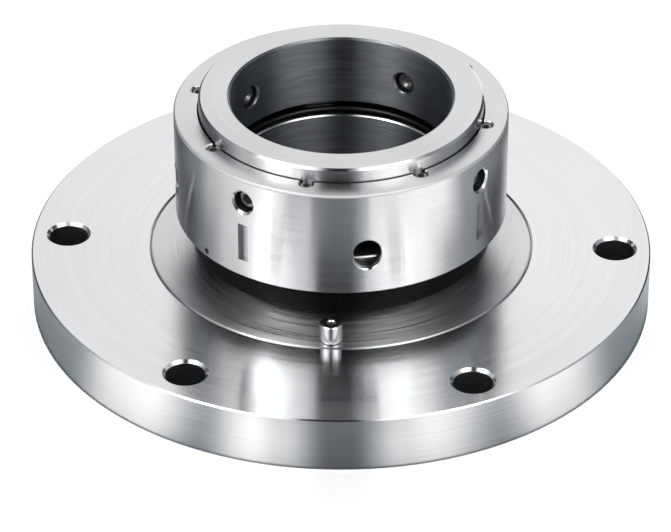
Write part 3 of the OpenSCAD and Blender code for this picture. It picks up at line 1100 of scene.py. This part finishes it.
RIM_STOPS = (
    Stop(-180, 0.6), Stop(-110, 0.55), Stop(-90, 0.5), Stop(-75, 0.33), Stop(-60, 0.36),
    Stop(-46, 1.15), Stop(-38, 1.3), Stop(-26, 0.4), Stop(-16, 1.35), Stop(-11, 0.95),
    Stop(-2, 0.17), Stop(2, 0.17), Stop(11, 0.95), Stop(17, 1.15), Stop(30, 0.42),
    Stop(41, 1.15), Stop(46, 1.1), Stop(62, 0.35), Stop(72, 0.36), Stop(90, 0.75),
    Stop(110, 0.8),
)
ROOF_STOPS = (Stop(-180, 0.05),)
TENT_RADIUS = 0.9
CARPET_HEIGHT = 0.0006
TENT = (
    TentRing(0.114, 0.0005, RIM_STOPS, gain=0.68, fan=1.01),
    TentRing(0.130, CARPET_HEIGHT, RIM_STOPS, gain=0.88, fan=1.1),
    TentRing(0.141, CARPET_HEIGHT, RIM_STOPS, gain=0.9, fan=1.18),
    TentRing(0.150, CARPET_HEIGHT, FLOOR_STOPS),
    TentRing(TENT_RADIUS, CARPET_HEIGHT, FLOOR_STOPS),
    TentRing(TENT_RADIUS, 0.15, WALL_STOPS),
    TentRing(TENT_RADIUS, 0.73, WALL_STOPS),
    TentRing(TENT_RADIUS, 0.9, SKY_STOPS),
    TentRing(TENT_RADIUS / 2, 1.2, SKY_STOPS, gain=0.5),
    TentRing(0.010, 1.3, ROOF_STOPS),
)


@dataclass
class Studio:
    """A pale floor, a light tent round the seal, and the camera.

    Attributes:
        camera_place: Where the camera stands, in metres.
        camera_aim: The point in the picture's middle.
        lens: Focal length in millimetres.
        film_width: Width of the camera's frame in millimetres.
        nearest: Nearest distance that the camera sees, in metres.
        floor_half: Half the width of the floor.
        floor_grey: Reflected share of the floor's cloth, on which shadows fall.
        shade_radius: Radius of the dark patch under the seal, where the painted shadow ring
            begins.
        painted_shadow_white: Glow of the floor at the edge of that patch, where the painted shadow
            is darkest.
        clean_radius: Where the painted shadow ends; beyond this radius the floor is pure white.
        shade_tone: Colour of the tent where it is dark.
        tent_steps: Steps round the tent.
    """

    camera_place: Point = (0.0, -1.1817, 0.7857)
    camera_aim: Point = (-0.0020, 0.0, 0.0101)
    lens: float = 206.4
    film_width: float = 36.0
    nearest: float = 0.05
    floor_half: float = 12.0
    floor_grey: float = 0.3
    shade_radius: float = 0.112
    painted_shadow_white: float = 0.9
    clean_radius: float = 0.15
    shade_tone: Colour = (0.87, 0.94, 1.0)
    tent_steps: int = 360

    def camera(self) -> None:
        """Set the camera where the photograph was taken from."""
        data = bpy.data.cameras.new("photo_camera")
        data.lens = self.lens
        data.sensor_width = self.film_width
        data.clip_start = self.nearest
        camera = show("photo_camera", data)
        camera.location = self.camera_place
        look = Vector(self.camera_aim) - Vector(self.camera_place)
        camera.rotation_euler = look.to_track_quat("-Z", "Y").to_euler()
        bpy.context.scene.camera = camera

    def world(self) -> None:
        """Surround the studio with plain white light."""
        world = bpy.data.worlds.new("studio_white")
        world.use_nodes = True
        background = world.node_tree.nodes["Background"]
        background.inputs["Color"].default_value = opaque(WHITE)
        background.inputs["Strength"].default_value = 1.0
        bpy.context.scene.world = world

    def floor_cloth(self) -> bpy.types.Material:
        """Make the floor white with a real faint shadow, a painted shadow ring and dark under the
        seal.

        Returns:
            The floor's material.
        """
        graph = Graph("white_floor")
        away = Place(graph).radius
        camera_ray = graph.add(Kind.LIGHT_PATH).outputs["Is Camera Ray"]
        open_floor = graph.math("GREATER_THAN", away, self.shade_radius)
        seen = graph.math("MULTIPLY", camera_ray, open_floor)
        # Painted shadow: the floor's glow falls towards the seal in a faint ring.
        painted_shadow = graph.remap(away, (self.shade_radius, self.clean_radius), (self.painted_shadow_white, 1.0))
        strength = graph.math("MULTIPLY", seen, painted_shadow)
        glow = graph.add(Kind.EMISSION, {"Color": opaque(WHITE), "Strength": strength})
        cloth = graph.add(Kind.DIFFUSE, {"Color": opaque((self.floor_grey,) * 3)})
        both = graph.add(Kind.ADD_SHADER, {0: glow.outputs[0], 1: cloth.outputs[0]})
        return graph.close(both.outputs[0])

    def floor(self) -> None:
        """Lay the floor."""
        half = self.floor_half
        corners = [(-half, -half, 0), (half, -half, 0), (half, half, 0), (-half, half, 0)]
        data = bpy.data.meshes.new("studio_floor")
        data.from_pydata(corners, [], [(0, 1, 2, 3)])
        floor = show("studio_floor", data)
        dress(floor, self.floor_cloth())

    def tent_cloth(self) -> bpy.types.Material:
        """Let the tent's cloth glow as its mesh says, in a cooler tone where it is dark.

        Returns:
            The tent's material.
        """
        graph = Graph("tent_cloth")
        glow = graph.add(Kind.ATTRIBUTE, attribute_name="glow").outputs["Fac"]
        tone = graph.shade(glow, self.shade_tone, WHITE)
        cloth = graph.add(Kind.EMISSION, {"Color": tone, "Strength": glow})
        return graph.close(cloth.outputs[0])

    def tent(self) -> None:
        """Stand the tent round the seal, bright and dark by its rings and strips."""
        points, values, faces = [], [], []
        for ring in TENT:
            for i in range(self.tent_steps):
                azimuth = 360 * i / self.tent_steps - 180
                a = math.radians(azimuth)
                points.append((ring.radius * math.sin(a), -ring.radius * math.cos(a), ring.height))
                values.append(ring.at(azimuth))
        for row in range(len(TENT) - 1):
            low, high = row * self.tent_steps, (row + 1) * self.tent_steps
            for i in range(self.tent_steps):
                n = (i + 1) % self.tent_steps
                faces.append((low + i, low + n, high + n, high + i))
        data = bpy.data.meshes.new("light_tent")
        data.from_pydata(points, [], faces)
        data.attributes.new("glow", "FLOAT", "POINT").data.foreach_set("value", values)
        tent = show("light_tent", data)
        dress(tent, self.tent_cloth())
        tent.visible_camera = False

    def build(self) -> None:
        """Set up camera, world, floor and tent."""
        self.camera()
        self.world()
        self.floor()
        self.tent()
        bpy.context.scene.view_settings.view_transform = "Standard"


def main() -> None:
    """Dress the seal, wind its springs and set the studio."""
    logging.basicConfig(level=logging.INFO, format="%(name)s: %(message)s")
    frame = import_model()
    nodes = frame["nodes"]
    for group in (Stator(nodes), RotatingHead(nodes), SlidingFace(nodes)):
        LOG.info("%s: %s", type(group).__name__, ", ".join(group.dress()))
    LOG.info("SpringSet: %s", ", ".join(SpringSet().build()))
    Studio().build()


if __name__ == "__main__":
    main()
